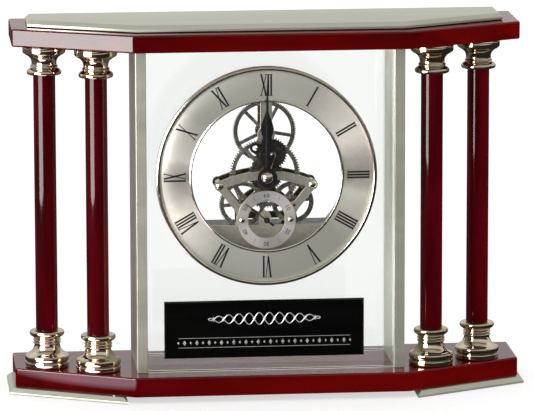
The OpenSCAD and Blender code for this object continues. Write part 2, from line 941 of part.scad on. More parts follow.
// The hour wheel, with the pipe that carries the hour hand
module hour_wheel() {
    color([0.2, 0.18, 0.16]) difference() {
        union() {
            facing(work_d, work_t) wheel_teeth(hour_n, hour_m, hour_phase);
            bar_to_back([0, 0], hour_d, work_d - hour_d, pipe_r);
        }
        bar_to_back([0, 0], hour_d - 1, work_d + work_t - hour_d + 2, arbor_r + run_gap);
    }
}

module hour_hand() {
    color([0.03, 0.03, 0.03]) facing(hour_d, hand_t) difference() {
        union() {
            circle(4.4);
            both_sides() {
                polygon([
                    [0, 0], [1.7, 3], [1.7, 5], [2.8, 7.5], [3.9, 10.5], [3.4, 13], [3.6, 16], [2.6, 18.5],
                    [2.2, 20], [3.4, 24], [2.7, 27], [1.2, 31], [0.5, 33.5], [0, hour_len]
                ]);
                disc([5.9, 14.8], 2.7);
            }
        }
        both_sides() {
            disc([5.9, 14.8], 1.4);
            disc([2.2, 11.8], 0.8);
        }
        disc([0, 9.2], 0.75);
        disc([0, 15], 1.1);
        circle(pipe_r);
    }
}

module minute_wheel() {
    color([0.2, 0.18, 0.16]) {
        facing(cannon_d, work_t) difference() {
            translate(minute_at) wheel_teeth(minute_n, cannon_m, minute_phase);
            disc(minute_at, stud_r + run_gap);
        }
        facing(work_d, cannon_d - work_d) difference() {
            translate(minute_at) pinion_teeth(minute_pinion_n, hour_m, minute_pinion_phase);
            disc(minute_at, stud_r + run_gap);
        }
    }
}

module third_wheel() {
    color([0.66, 0.66, 0.64]) facing(third_d, wheel_t) translate(third_at)
        spoked(third_n, second_m, third_phase, rim_in, 5, 40, 2, pivot_r);
}

// An arbor between the bridge and the rear plate, with its pinion level with the centre wheel
module train_arbor(at, n, phase) {
    bar_to_back(at, bridge_d, rear_d + bridge_t - bridge_d, pivot_r);
    facing(centre_d, wheel_t) difference() {
        translate(at) pinion_teeth(n, train_m, phase);
        disc(at, pivot_r - 0.1);
    }
}

module third_arbor() {
    color([0.7, 0.7, 0.7]) train_arbor(third_at, third_pinion_n, third_pinion_phase);
}

module seconds_arbor() {
    color([0.7, 0.7, 0.7]) {
        bar_to_back(second_at, second_d, rear_d + bridge_t - second_d, pivot_r);
        facing(third_d, wheel_t) difference() {
            translate(second_at) pinion_teeth(second_pinion_n, second_m, second_phase);
            disc(second_at, pivot_r - 0.1);
        }
    }
}

module second_hand() {
    color([0.03, 0.03, 0.03]) facing(second_d, hand_t) translate(second_at) difference() {
        rotate(-second_rest * 6) union() {
            circle(1.5);
            polygon([[0.3, 1], [0.18, second_len], [-0.18, second_len], [-0.3, 1]]);
            polygon([[-0.4, -1], [-0.6, -tail_len], [0.6, -tail_len], [0.4, -1]]);
        }
        circle(pivot_r);
    }
}

module upper_wheel() {
    color([0.66, 0.66, 0.64]) {
        facing(upper_d, wheel_t) translate(upper_at)
            spoked(upper_n, upper_m, 90, rim_in, 5, 62, 2.4, pivot_r);
        train_arbor(upper_at, side_pinion_n, upper_phase);
    }
}

// The side wheel has a plain rim
module side_wheel() {
    color([0.66, 0.66, 0.64]) {
        facing(third_d, wheel_t) translate(side_at) difference() {
            circle(side_wheel_r);
            for (i = [0 : 3]) rotate(i * 90 + 10) intersection() {
                circle(side_wheel_r - 2.3);
                translate([spoke_w / 2, spoke_w / 2]) square(side_wheel_r);
                difference() {
                    circle(side_wheel_r);
                    circle(2.2);
                }
            }
            circle(pivot_r);
        }
        train_arbor(side_at, side_pinion_n, side_phase);
    }
}

base_board();
top_board();
top_plate_pad();
top_plate();
left_foot();
right_foot();
foot_screws();
outer_left_column();
inner_left_column();
inner_right_column();
outer_right_column();
outer_left_column_foot();
inner_left_column_foot();
inner_right_column_foot();
outer_right_column_foot();
outer_left_column_head();
inner_left_column_head();
inner_right_column_head();
outer_right_column_head();
tie_rods();
rod_nuts();
left_side_plate();
right_side_plate();
side_plate_screws();
front_pane();
rear_pane();
name_plate();
bezel();
hour_ring();
inner_rim();
clock_case();
case_gasket();
front_bridge();
upper_bar();
rear_plate();
pillars();
bridge_screws();
seconds_ring();
chord_plate();
drive_housing();
circuit_board();
motor_coil();
motor_stator();
battery();
battery_contacts();
centre_arbor();
centre_wheel();
minute_hand();
hand_cap();
setting_knob();
hour_wheel();
hour_hand();
minute_wheel();
third_wheel();
third_arbor();
seconds_arbor();
second_hand();
upper_wheel();
side_wheel();
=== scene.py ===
import json
import math

import bmesh
import bpy
from mathutils import Matrix, Vector


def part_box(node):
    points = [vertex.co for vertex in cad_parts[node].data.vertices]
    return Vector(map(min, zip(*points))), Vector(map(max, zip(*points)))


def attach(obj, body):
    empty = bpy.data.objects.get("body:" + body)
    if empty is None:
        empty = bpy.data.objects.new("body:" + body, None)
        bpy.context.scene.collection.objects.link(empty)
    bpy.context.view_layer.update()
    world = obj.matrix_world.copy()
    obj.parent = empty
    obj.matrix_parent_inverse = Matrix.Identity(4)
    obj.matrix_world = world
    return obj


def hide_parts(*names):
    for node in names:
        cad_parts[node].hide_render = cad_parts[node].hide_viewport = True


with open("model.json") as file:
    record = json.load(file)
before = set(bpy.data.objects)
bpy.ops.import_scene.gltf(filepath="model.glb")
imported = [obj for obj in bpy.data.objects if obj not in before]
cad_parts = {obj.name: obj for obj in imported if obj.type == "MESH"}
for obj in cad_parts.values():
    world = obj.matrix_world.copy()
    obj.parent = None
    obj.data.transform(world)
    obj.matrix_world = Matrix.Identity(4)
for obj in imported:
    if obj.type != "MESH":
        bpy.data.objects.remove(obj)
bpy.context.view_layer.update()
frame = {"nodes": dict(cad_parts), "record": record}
mm = 0.001
scene = bpy.context.scene
bodyOf = {node: body for body, nodes in frame["record"]["behaviour"]["bodies"].items() for node in nodes}


def boxOf(node):
    low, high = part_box(node)
    return Vector(low), Vector(high)


def middleOf(node):
    low, high = boxOf(node)
    return (low + high) / 2


ringFront = boxOf("hour_ring")[0].y
dialCentre = Vector((middleOf("hour_ring").x, ringFront, middleOf("hour_ring").z))
secondsCentre = Vector((middleOf("seconds_ring").x, ringFront, middleOf("seconds_ring").z))
print("frame loaded:", len(frame["nodes"]), "nodes")


# Finishes. Every pattern reads Object coordinates, in metres.
noiseLook = dict(detail=4.0, roughness=0.55, low=0.3, high=0.7)
finishes = {}


def startFinish(name, uniform):
    material = bpy.data.materials.new(name)
    material.use_nodes = True
    shader = material.node_tree.nodes["Principled BSDF"]
    for socket, value in uniform.items():
        shader.inputs[socket].default_value = value
    finishes[name] = material
    return material.node_tree.nodes, material.node_tree.links, shader


def objectPlace(nodes, links, stretch=(1, 1, 1), centre=(0, 0, 0)):
    place = nodes.new("ShaderNodeTexCoord")
    mapping = nodes.new("ShaderNodeMapping")
    mapping.inputs["Scale"].default_value = stretch
    mapping.inputs["Location"].default_value = [-c * s for c, s in zip(centre, stretch)]
    links.new(place.outputs["Object"], mapping.inputs["Vector"])
    return mapping.outputs["Vector"]


def noiseOn(nodes, links, place, scale):
    noise = nodes.new("ShaderNodeTexNoise")
    noise.inputs["Scale"].default_value = scale
    noise.inputs["Detail"].default_value = noiseLook["detail"]
    noise.inputs["Roughness"].default_value = noiseLook["roughness"]
    links.new(place, noise.inputs["Vector"])
    return noise.outputs["Fac"]


def rampOn(nodes, links, value, stops):
    ramp = nodes.new("ShaderNodeValToRGB")
    while len(ramp.color_ramp.elements) < len(stops):
        ramp.color_ramp.elements.new(0.5)
    for element, (position, colour) in zip(ramp.color_ramp.elements, stops):
        element.position = position
        element.color = (*colour, 1)
    links.new(value, ramp.inputs["Fac"])
    return ramp.outputs["Color"]


def rangeOn(nodes, links, value, low, high, fromLow=noiseLook["low"], fromHigh=noiseLook["high"]):
    mapped = nodes.new("ShaderNodeMapRange")
    for socket, number in (("From Min", fromLow), ("From Max", fromHigh), ("To Min", low), ("To Max", high)):
        mapped.inputs[socket].default_value = number
    links.new(value, mapped.inputs["Value"])
    return mapped.outputs["Result"]


def mathOn(nodes, links, operation, *values):
    node = nodes.new("ShaderNodeMath")
    node.operation = operation
    for socket, value in zip(node.inputs, values):
        if isinstance(value, (int, float)):
            socket.default_value = value
        else:
            links.new(value, socket)
    return node.outputs["Value"]


def mixOn(nodes, links, share, first, second):
    mix = nodes.new("ShaderNodeMix")
    mix.data_type = "RGBA"
    links.new(share, mix.inputs[0])
    for socket, value in ((mix.inputs[6], first), (mix.inputs[7], second)):
        if isinstance(value, tuple):
            socket.default_value = value
        else:
            links.new(value, socket)
    return mix.outputs[2]


def splitOn(nodes, links, value):
    split = nodes.new("ShaderNodeSeparateXYZ")
    links.new(value, split.inputs["Vector"])
    return split.outputs


# One on rays that a polished face mirrors, and nought on those that glass lets through
def mirroredOn(nodes, links):
    ray = nodes.new("ShaderNodeLightPath").outputs
    share = mathOn(nodes, links, "SUBTRACT", ray["Is Glossy Ray"], ray["Is Transmission Ray"])
    share.node.use_clamp = True
    return share


def bumpOn(nodes, links, value, shader, depth):
    bump = nodes.new("ShaderNodeBump")
    bump.inputs["Distance"].default_value = depth * mm
    links.new(value, bump.inputs["Height"])
    links.new(bump.outputs["Normal"], shader.inputs["Normal"])


def patternedFinish(name, uniform, colours, patch, roughness, wear, grain, depth,
                    stretch=(1, 1, 1), wearStretch=(1, 1, 1)):
    nodes, links, shader = startFinish(name, uniform)
    place = objectPlace(nodes, links, stretch)
    wearPlace = objectPlace(nodes, links, wearStretch)
    tone = noiseOn(nodes, links, place, patch)
    low, span = noiseLook["low"], noiseLook["high"] - noiseLook["low"]
    stops = [(low + span * i / (len(colours) - 1), colour) for i, colour in enumerate(colours)]
    links.new(rampOn(nodes, links, tone, stops), shader.inputs["Base Color"])
    worn = noiseOn(nodes, links, wearPlace, wear)
    links.new(rangeOn(nodes, links, worn, *roughness), shader.inputs["Roughness"])
    bumpOn(nodes, links, noiseOn(nodes, links, place, grain), shader, depth)


patternedFinish(
    "lacquer", {"Specular IOR Level": 0.35},
    ((0.060, 0.0002, 0.0004), (0.112, 0.0005, 0.0008), (0.150, 0.0008, 0.0012)),
    90, (0.035, 0.075), 35, 160, 0.004, stretch=(0.12, 1, 1))
patternedFinish(
    "turnedLacquer", {"Specular IOR Level": 0.22},
    ((0.026, 0.0002, 0.0016), (0.070, 0.0005, 0.0028), (0.118, 0.0008, 0.0038)),
    110, (0.035, 0.07), 35, 160, 0.004, stretch=(1, 1, 0.12))
patternedFinish(
    "satinNickel", {"Metallic": 0.6},
    ((0.48, 0.48, 0.40), (0.53, 0.53, 0.44), (0.58, 0.58, 0.49)),
    60, (0.34, 0.44), 300, 2600, 0.003, stretch=(0.05, 1, 1), wearStretch=(0.1, 1, 1))
patternedFinish(
    "polishedNickel", {"Metallic": 1.0},
    ((0.48, 0.40, 0.29), (0.56, 0.48, 0.36), (0.64, 0.57, 0.45)),
    120, (0.03, 0.07), 90, 900, 0.0012)
patternedFinish(
    "polishedTrim", {"Metallic": 1.0},
    ((0.56, 0.55, 0.46), (0.62, 0.61, 0.52), (0.68, 0.67, 0.59)),
    150, (0.12, 0.20), 120, 1200, 0.001)
patternedFinish(
    "screwSteel", {"Metallic": 1.0},
    ((0.42, 0.42, 0.42), (0.52, 0.52, 0.51), (0.60, 0.60, 0.58)),
    400, (0.22, 0.38), 500, 2500, 0.004)
patternedFinish(
    "satinBridge", {"Metallic": 0.6},
    ((0.38, 0.37, 0.31), (0.44, 0.43, 0.36), (0.50, 0.49, 0.42)),
    500, (0.30, 0.42), 900, 3800, 0.006)
# Painted light: a lighter copy of the bridge's satin metal, which makes up for the shade on the chord plate
# deep in the case
patternedFinish(
    "satinChordPaintedLight", {"Metallic": 0.5},
    ((0.56, 0.55, 0.46), (0.62, 0.61, 0.52), (0.68, 0.67, 0.58)),
    500, (0.34, 0.46), 900, 3800, 0.004)
patternedFinish(
    "bronzePlate", {"Metallic": 1.0},
    ((0.14, 0.09, 0.055), (0.20, 0.13, 0.08), (0.26, 0.18, 0.12)),
    300, (0.22, 0.36), 600, 2600, 0.004)
patternedFinish(
    "wheelMetal", {"Metallic": 1.0},
    ((0.50, 0.49, 0.44), (0.58, 0.57, 0.52), (0.66, 0.65, 0.60)),
    350, (0.22, 0.34), 500, 3000, 0.003)
patternedFinish(
    "trainMetal", {"Metallic": 1.0},
    ((0.44, 0.42, 0.36), (0.54, 0.52, 0.46), (0.62, 0.60, 0.54)),
    350, (0.18, 0.30), 500, 3000, 0.003)
patternedFinish(
    "arborSteel", {"Metallic": 1.0},
    ((0.46, 0.45, 0.44), (0.56, 0.55, 0.53), (0.66, 0.65, 0.63)),
    600, (0.12, 0.24), 700, 3500, 0.002, stretch=(1, 0.2, 1))
patternedFinish(
    "motionWork", {"Metallic": 1.0},
    ((0.10, 0.085, 0.07), (0.16, 0.14, 0.12), (0.22, 0.19, 0.16)),
    400, (0.25, 0.38), 500, 3000, 0.003)
patternedFinish(
    "blackHands", {"Specular IOR Level": 0.5, "Coat Weight": 0.2, "Coat Roughness": 0.15},
    ((0.004, 0.004, 0.005), (0.006, 0.006, 0.007), (0.010, 0.010, 0.011)),
    500, (0.28, 0.42), 400, 2600, 0.003)
patternedFinish(
    "blackPlate", {"Specular IOR Level": 0.3},
    ((0.0010, 0.0013, 0.0011), (0.0016, 0.0020, 0.0018), (0.0026, 0.0028, 0.0025)),
    220, (0.10, 0.18), 180, 2200, 0.001, stretch=(0.08, 1, 1))
patternedFinish(
    "engraving", {"Metallic": 0.6},
    ((0.50, 0.50, 0.49), (0.60, 0.60, 0.59), (0.70, 0.70, 0.69)),
    500, (0.35, 0.5), 500, 2500, 0.002)
patternedFinish(
    "caseBlack", {"Specular IOR Level": 0.5},
    ((0.012, 0.011, 0.010), (0.018, 0.016, 0.014), (0.026, 0.022, 0.019)),
    300, (0.30, 0.46), 300, 1800, 0.008)
patternedFinish(
    "rubber", {"Specular IOR Level": 0.35},
    ((0.010, 0.010, 0.010), (0.016, 0.016, 0.016), (0.024, 0.023, 0.022)),
    260, (0.60, 0.80), 200, 1400, 0.02)
# A near-black foam pad under the top plate; its black also stands in as painted shadow in the gap under the
# plate
patternedFinish(
    "foam", {"Specular IOR Level": 0.2},
    ((0.006, 0.006, 0.006), (0.012, 0.012, 0.012), (0.022, 0.022, 0.022)),
    1500, (0.85, 0.95), 500, 2200, 0.08)
patternedFinish(
    "boardGreen", {"Specular IOR Level": 0.5},
    ((0.006, 0.06, 0.02), (0.010, 0.10, 0.03), (0.03, 0.16, 0.06)),
    600, (0.25, 0.40), 500, 1800, 0.01)
patternedFinish(
    "copperWire", {"Metallic": 1.0},
    ((0.45, 0.14, 0.06), (0.62, 0.24, 0.11), (0.75, 0.34, 0.18)),
    1200, (0.20, 0.34), 900, 9000, 0.04, stretch=(1, 0.1, 0.1))
patternedFinish(
    "statorIron", {"Metallic": 1.0},
    ((0.26, 0.26, 0.27), (0.34, 0.34, 0.35), (0.42, 0.42, 0.42)),
    500, (0.35, 0.50), 500, 3000, 0.01)


def glassFinish():
    look = dict(tint=(0.945, 0.955, 0.942, 1), shade=(0.96, 0.97, 0.96, 1), roughness=(0.0, 0.012), smears=45)
    nodes, links, shader = startFinish(
        "clearGlass", {"Transmission Weight": 1.0, "IOR": 1.46, "Base Color": look["tint"]})
    smears = noiseOn(nodes, links, objectPlace(nodes, links), look["smears"])
    links.new(rangeOn(nodes, links, smears, *look["roughness"]), shader.inputs["Roughness"])
    clear = nodes.new("ShaderNodeBsdfTransparent")
    clear.inputs["Color"].default_value = look["shade"]
    path = nodes.new("ShaderNodeLightPath")
    mix = nodes.new("ShaderNodeMixShader")
    links.new(path.outputs["Is Shadow Ray"], mix.inputs["Fac"])
    links.new(shader.outputs["BSDF"], mix.inputs[1])
    links.new(clear.outputs["BSDF"], mix.inputs[2])
    links.new(mix.outputs["Shader"], nodes["Material Output"].inputs["Surface"])


# Metal brushed in circles: fine grooves by radius, and painted highlights and painted shade that repeat every
# half turn
spun = dict(grooves=9000, detail=3, fine=220, fineShare=0.05)


def spunPaintedSheenFinish(name, centre, look):
    nodes, links, shader = startFinish(
        name, {"Metallic": look["metallic"], "Anisotropic": look["anisotropic"]})
    place = objectPlace(nodes, links, centre=centre)
    around = nodes.new("ShaderNodeVectorMath")
    around.operation = "CROSS_PRODUCT"
    around.inputs[1].default_value = (0, 1, 0)
    links.new(place, around.inputs[0])
    unit = nodes.new("ShaderNodeVectorMath")
    unit.operation = "NORMALIZE"
    links.new(around.outputs["Vector"], unit.inputs[0])
    links.new(unit.outputs["Vector"], shader.inputs["Tangent"])
    reach = nodes.new("ShaderNodeVectorMath")
    reach.operation = "LENGTH"
    links.new(place, reach.inputs[0])
    grooves = nodes.new("ShaderNodeTexNoise")
    grooves.noise_dimensions = "1D"
    grooves.inputs["Scale"].default_value = spun["grooves"]
    grooves.inputs["Detail"].default_value = spun["detail"]
    links.new(reach.outputs["Value"], grooves.inputs["W"])
    across = splitOn(nodes, links, place)
    # Painted highlights and painted shade: the base colour follows the angle around the centre
    angle = mathOn(nodes, links, "ARCTAN2", across["X"], across["Z"])
    paintedSheenTurn = mathOn(nodes, links, "FRACT", mathOn(nodes, links, "DIVIDE", angle, math.pi))
    fine = noiseOn(nodes, links, place, spun["fine"])
    tone = mathOn(nodes, links, "MULTIPLY_ADD", fine, spun["fineShare"], paintedSheenTurn)
    links.new(rampOn(nodes, links, tone, look["stops"]), shader.inputs["Base Color"])
    links.new(rangeOn(nodes, links, grooves.outputs["Fac"], *look["roughness"]), shader.inputs["Roughness"])
    bumpOn(nodes, links, grooves.outputs["Fac"], shader, look["depth"])


glassFinish()
# Each dial's stops are painted highlights and painted shade at fixed angles around its centre
spunPaintedSheenFinish("spunDialPaintedSheen", dialCentre, dict(
    metallic=0.25, anisotropic=0.5, depth=0.0025, roughness=(0.30, 0.40),
    stops=[(0.03, (0.47, 0.47, 0.42)), (0.19, (0.43, 0.43, 0.38)), (0.31, (0.74, 0.71, 0.64)),
           (0.39, (0.95, 0.89, 0.79)), (0.47, (0.50, 0.47, 0.42)), (0.53, (0.33, 0.31, 0.27)),
           (0.59, (0.74, 0.71, 0.63)), (0.66, (0.60, 0.58, 0.51)), (0.75, (0.40, 0.40, 0.35)),
           (0.87, (0.40, 0.40, 0.35))]))
spunPaintedSheenFinish("spunSecondsPaintedSheen", secondsCentre, dict(
    metallic=0.5, anisotropic=0.5, depth=0.002, roughness=(0.28, 0.38),
    stops=[(0.03, (0.52, 0.51, 0.48)), (0.37, (0.84, 0.77, 0.72)), (0.53, (0.58, 0.57, 0.54)),
           (0.62, (0.76, 0.74, 0.70)), (0.87, (0.52, 0.51, 0.48))]))
print("finishes made:", len(finishes))


# Making pieces
weldGap = 0.0004 * mm


def addPiece(name, bm, finish, body, nodes=(), smooth=32):
    bmesh.ops.remove_doubles(bm, verts=bm.verts[:], dist=weldGap)
    bmesh.ops.recalc_face_normals(bm, faces=bm.faces[:])
    mesh = bpy.data.meshes.new(name)
    bm.to_mesh(mesh)
    bm.free()
    mesh.materials.append(finishes[finish])
    mesh.shade_smooth()
    mesh.set_sharp_from_angle(angle=math.radians(smooth))
    piece = bpy.data.objects.new(name, mesh)
    scene.collection.objects.link(piece)
    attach(piece, body)
    if nodes:
        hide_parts(*nodes)
    return piece


# A curve's solid, added to a mesh that is being built
def curveInto(bm, curve, place=Matrix.Identity(4)):
    holder = bpy.data.objects.new("curve", curve)
    scene.collection.objects.link(holder)
    drawn = bpy.data.meshes.new_from_object(holder.evaluated_get(bpy.context.evaluated_depsgraph_get()))
    drawn.transform(place)
    bm.from_mesh(drawn)
    bpy.data.objects.remove(holder)
    bpy.data.curves.remove(curve)
    bpy.data.meshes.remove(drawn)


# Even shading on flat faces beside rounded edges
def flattened(piece):
    even = piece.modifiers.new("Even shading", "WEIGHTED_NORMAL")
    even.weight = 100
    even.keep_sharp = True


def rounded(piece, levels):
    soft = piece.modifiers.new("Soft edges", "SUBSURF")
    soft.levels = soft.render_levels = levels


# A turned shape: profile is radius and height in millimetres, closed into a loop
onAxis, seamGap = 1e-9, 1e-7


def spunInto(bm, profile, place, steps=64):
    made = [bm.verts.new((r * mm, 0, h * mm)) for r, h in profile]
    edges = [bm.edges.new((a, b)) for a, b in zip(made, made[1:] + made[:1])]
    axial = [e for e in edges if all(v.co.x < onAxis for v in e.verts)]
    for edge in axial:
        bm.edges.remove(edge)
        edges.remove(edge)
    before = set(bm.verts) - set(made)
    bmesh.ops.spin(
        bm, geom=made + edges, cent=(0, 0, 0), axis=(0, 0, 1), dvec=(0, 0, 0),
        angle=2 * math.pi, steps=steps, use_merge=True)
    fresh = [v for v in bm.verts if v not in before]
    bmesh.ops.remove_doubles(bm, verts=fresh, dist=seamGap)
    fresh = [v for v in bm.verts if v not in before]
    bmesh.ops.transform(bm, matrix=place, verts=fresh)


# Height runs up from this point, or to the back behind it
def standing(point):
    return Matrix.Translation(point)


def toBack(point):
    return Matrix.Translation(point) @ Matrix.Rotation(-math.pi / 2, 4, "X")


def turnedPiece(name, profiles, finish, body, nodes=(), steps=64, smooth=32, levels=0):
    bm = bmesh.new()
    for profile, place in profiles:
        spunInto(bm, profile, place, steps)
    piece = addPiece(name, bm, finish, body, nodes, smooth)
    if levels:
        rounded(piece, levels)


# A CAD part's own shape with its sharp edges broken. Distances in millimetres, angles in degrees.
breaking = dict(weld=0.002, flat=0.6, sharp=28)


def refined(name, node, finish, width, segments=2):
    bm = bmesh.new()
    bm.from_mesh(frame["nodes"][node].data)
    bmesh.ops.remove_doubles(bm, verts=bm.verts[:], dist=breaking["weld"] * mm)
    bmesh.ops.dissolve_limit(
        bm, angle_limit=math.radians(breaking["flat"]), verts=bm.verts[:], edges=bm.edges[:],
        use_dissolve_boundaries=False)
    steep = math.radians(breaking["sharp"])
    sharp = [e for e in bm.edges if e.is_manifold and e.calc_face_angle() > steep]
    bmesh.ops.bevel(
        bm, geom=sharp, offset=width * mm, offset_type="OFFSET", segments=segments, profile=0.5,
        affect="EDGES", clamp_overlap=False, material=-1)
    flattened(addPiece(name, bm, finish, bodyOf[node], (node,)))


def paint(node, finish):
    part = frame["nodes"][node]
    if not part.material_slots:
        part.data.materials.append(finishes[finish])
    for each in part.material_slots:
        each.material = finishes[finish]


# Camera: place in millimetres, turns in radians
view = dict(
    place=(-211.4, -2240.05, 507.45), yaw=0.09404, pitch=0.18225, roll=-0.002327, lens=308.28, sensor=36,
    near=0.05, far=60)


def addCamera():
    yaw, pitch, roll = view["yaw"], view["pitch"], view["roll"]
    forward = Vector((math.sin(yaw) * math.cos(pitch), math.cos(yaw) * math.cos(pitch), -math.sin(pitch)))
    right = Vector((math.cos(yaw), -math.sin(yaw), 0))
    up = right.cross(forward)
    across = math.cos(roll) * right + math.sin(roll) * up
    above = math.cos(roll) * up - math.sin(roll) * right
    turn = Matrix((across, above, -forward)).transposed().to_4x4()
    data = bpy.data.cameras.new("camera")
    data.lens, data.sensor_width, data.sensor_fit = view["lens"], view["sensor"], "HORIZONTAL"
    data.clip_start, data.clip_end = view["near"], view["far"]
    camera = bpy.data.objects.new("camera", data)
    scene.collection.objects.link(camera)
    camera.matrix_world = Matrix.Translation(Vector(view["place"]) * mm) @ turn
    scene.camera = camera


addCamera()


# Boards
boards = dict(frontWidth=137.2, cornerDepth=29.5, edge=1.0, segments=4, plateEdge=0.12)


def addBoard(name, node):
    low, high = boxOf(node)
    flat, corner = boards["frontWidth"] / 2 * mm, low.y + boards["cornerDepth"] * mm
    outline = [
        (-flat, low.y), (flat, low.y), (high.x, corner), (high.x, high.y), (low.x, high.y), (low.x, corner)]
    bm = bmesh.new()
    face = bm.faces.new([bm.verts.new((x, y, low.z)) for x, y in outline])
    pulled = bmesh.ops.extrude_face_region(bm, geom=[face])
    raised = [v for v in pulled["geom"] if isinstance(v, bmesh.types.BMVert)]
    bmesh.ops.translate(bm, vec=(0, 0, high.z - low.z), verts=raised)
    bmesh.ops.bevel(
        bm, geom=bm.edges[:], offset=boards["edge"] * mm, offset_type="OFFSET", segments=boards["segments"],
        profile=0.5, affect="EDGES", clamp_overlap=True, material=-1)
    flattened(addPiece(name, bm, "lacquer", "case", (node,), smooth=40))


addBoard("topBoard", "top_board")
addBoard("baseBoard", "base_board")
for name, node in (
        ("topPlate", "top_plate"), ("leftFootPlate", "left_foot"), ("rightFootPlate", "right_foot")):
    refined(name, node, "satinNickel", boards["plateEdge"])
# The pad's near-black is partly painted shadow for the gap under the top plate
paint("top_plate_pad", "foam")
for node in ("foot_screws", "tie_rods", "rod_nuts", "side_plate_screws"):
    paint(node, "screwSteel")
print("boards and plates made")


# Columns: radius and height in millimetres, from the bottom of each turning
columns = dict(
    foot=[
        (2.3, 0), (10.2, 0), (10.9, 0.15), (11.15, 0.6), (11.15, 2.3), (11.05, 2.8), (10.5, 2.95),
        (10.45, 3.15), (11.05, 3.3), (11.15, 3.8), (11.15, 5.3), (11.0, 5.85), (10.6, 6.15), (10.3, 6.25),
        (10.15, 6.4),
        (9.2, 6.75), (8.15, 7.5), (7.2, 8.6), (6.6, 9.9), (6.3, 11.3), (6.3, 11.7), (6.85, 11.85),
        (7.0, 12.25), (6.85, 12.65), (6.35, 12.8), (6.3, 13.05), (6.4, 13.2), (6.85, 13.3), (7.05, 13.7),
        (6.85, 14.1), (6.4, 14.25), (6.45, 14.5), (7.0, 15.2), (7.8, 15.75), (8.45, 16.2), (8.7, 16.8),
        (8.7, 17.6), (8.45, 18.25), (7.9, 18.5), (7.2, 18.4), (6.5, 17.9), (5.75, 17.2), (5.55, 16.8),
        (5.55, 14.6), (2.3, 14.6)],
    head=[
        (2.3, 3.9), (5.55, 3.9), (5.55, 1.6), (5.75, 1.2), (6.4, 0.5), (7.1, 0.1), (7.9, 0), (8.5, 0.35),
        (8.7, 1.0), (8.65, 1.8), (8.2, 2.5), (7.4, 3.05), (6.6, 3.5), (6.4, 3.75), (6.8, 3.85), (7.0, 4.25),
        (6.8, 4.65), (6.35, 4.8), (6.25, 5.2), (6.2, 6.2), (6.4, 7.3), (7.0, 8.4), (7.9, 9.3), (9.0, 10.0),
        (9.7, 10.25), (9.75, 10.5), (10.1, 10.65), (10.55, 10.95), (10.7, 11.5), (10.7, 13.7), (10.5, 14.3),
        (9.9, 14.5), (2.3, 14.5)],
    shaft=5.5, shaftEdge=0.4, bore=2.2)


def addColumns():
    for side in ("outer_left", "inner_left", "inner_right", "outer_right"):
        name = "".join(word.capitalize() if i else word for i, word in enumerate(side.split("_")))
        low, high = boxOf(side + "_column")
        centre = Vector(((low.x + high.x) / 2, (low.y + high.y) / 2, low.z))
        radius, edge, bore = columns["shaft"], columns["shaftEdge"], columns["bore"]
        tall = (high.z - low.z) / mm
        shaft = [(bore, 0), (radius - edge, 0), (radius, edge), (radius, tall / 2), (radius, tall - edge),
                 (radius - edge, tall), (bore, tall)]
        turnedPiece(
            name + "Shaft", [(shaft, standing(centre))], "turnedLacquer", "case", (side + "_column",),
            steps=96)
        for part in ("foot", "head"):
            at = Vector((centre.x, centre.y, boxOf(f"{side}_column_{part}")[0].z))
            turnedPiece(
                name + part.capitalize(), [(columns[part], standing(at))], "polishedNickel", "case",
                (f"{side}_column_{part}",), smooth=50, levels=1)


addColumns()
print("columns made")

# Glass box: width and segments of each rounded edge
glassBox = dict(plateEdge=(0.35, 3), paneEdge=(0.5, 2))
for name, node in (("leftSidePlate", "left_side_plate"), ("rightSidePlate", "right_side_plate")):
    refined(name, node, "satinNickel", *glassBox["plateEdge"])
for name, node in (("frontPane", "front_pane"), ("rearPane", "rear_pane")):
    refined(name, node, "clearGlass", *glassBox["paneEdge"])

# Name plate, with a plain engraved pattern: a twist above, and a row of lozenges between two rules
plate = dict(edge=0.7, sunk=0.02, thick=0.12)
twist = dict(line=0.24, wave=3.0, waves=5.5, across=56, up=5.2, steps=110, fade=0.5, beads=5, bead=(1.9, 3.2))
row = dict(count=29, across=86, up=-6.6, lozenge=(2.1, 3.15), small=0.6, ruleAt=2.4, rule=0.12)


def drawnLine(bm, points, radius):
    curve = bpy.data.curves.new("line", "CURVE")
    curve.dimensions = "3D"
    curve.bevel_depth = radius * mm
    curve.bevel_resolution = 1
    curve.use_fill_caps = True
    spline = curve.splines.new("POLY")
    spline.points.add(len(points) - 1)
    for point, at in zip(spline.points, points):
        point.co = (*at, 1)
    curveInto(bm, curve)


def lozenge(bm, at, wide, tall):
    bmesh.ops.create_cone(
        bm, cap_ends=True, segments=4, radius1=0.5, radius2=0.25, depth=plate["thick"] * mm,
        matrix=Matrix.Translation(at) @ Matrix.Rotation(math.pi / 2, 4, "X")
        @ Matrix.Diagonal((wide * mm, tall * mm, 1, 1)))


def addNamePlate():
    low, high = boxOf("name_plate")
    centre = (low + high) / 2
    bm = bmesh.new()
    bmesh.ops.create_cube(
        bm, size=1, matrix=Matrix.Translation(centre) @ Matrix.Diagonal((*(high - low), 1)))
    front = [e for e in bm.edges if all(abs(v.co.y - low.y) < 1e-6 for v in e.verts)]
    bmesh.ops.bevel(
        bm, geom=front, offset=plate["edge"] * mm, offset_type="OFFSET", segments=1, profile=0.5,
        affect="EDGES", clamp_overlap=True, material=-1)
    addPiece("namePlate", bm, "blackPlate", "case", ("name_plate",))


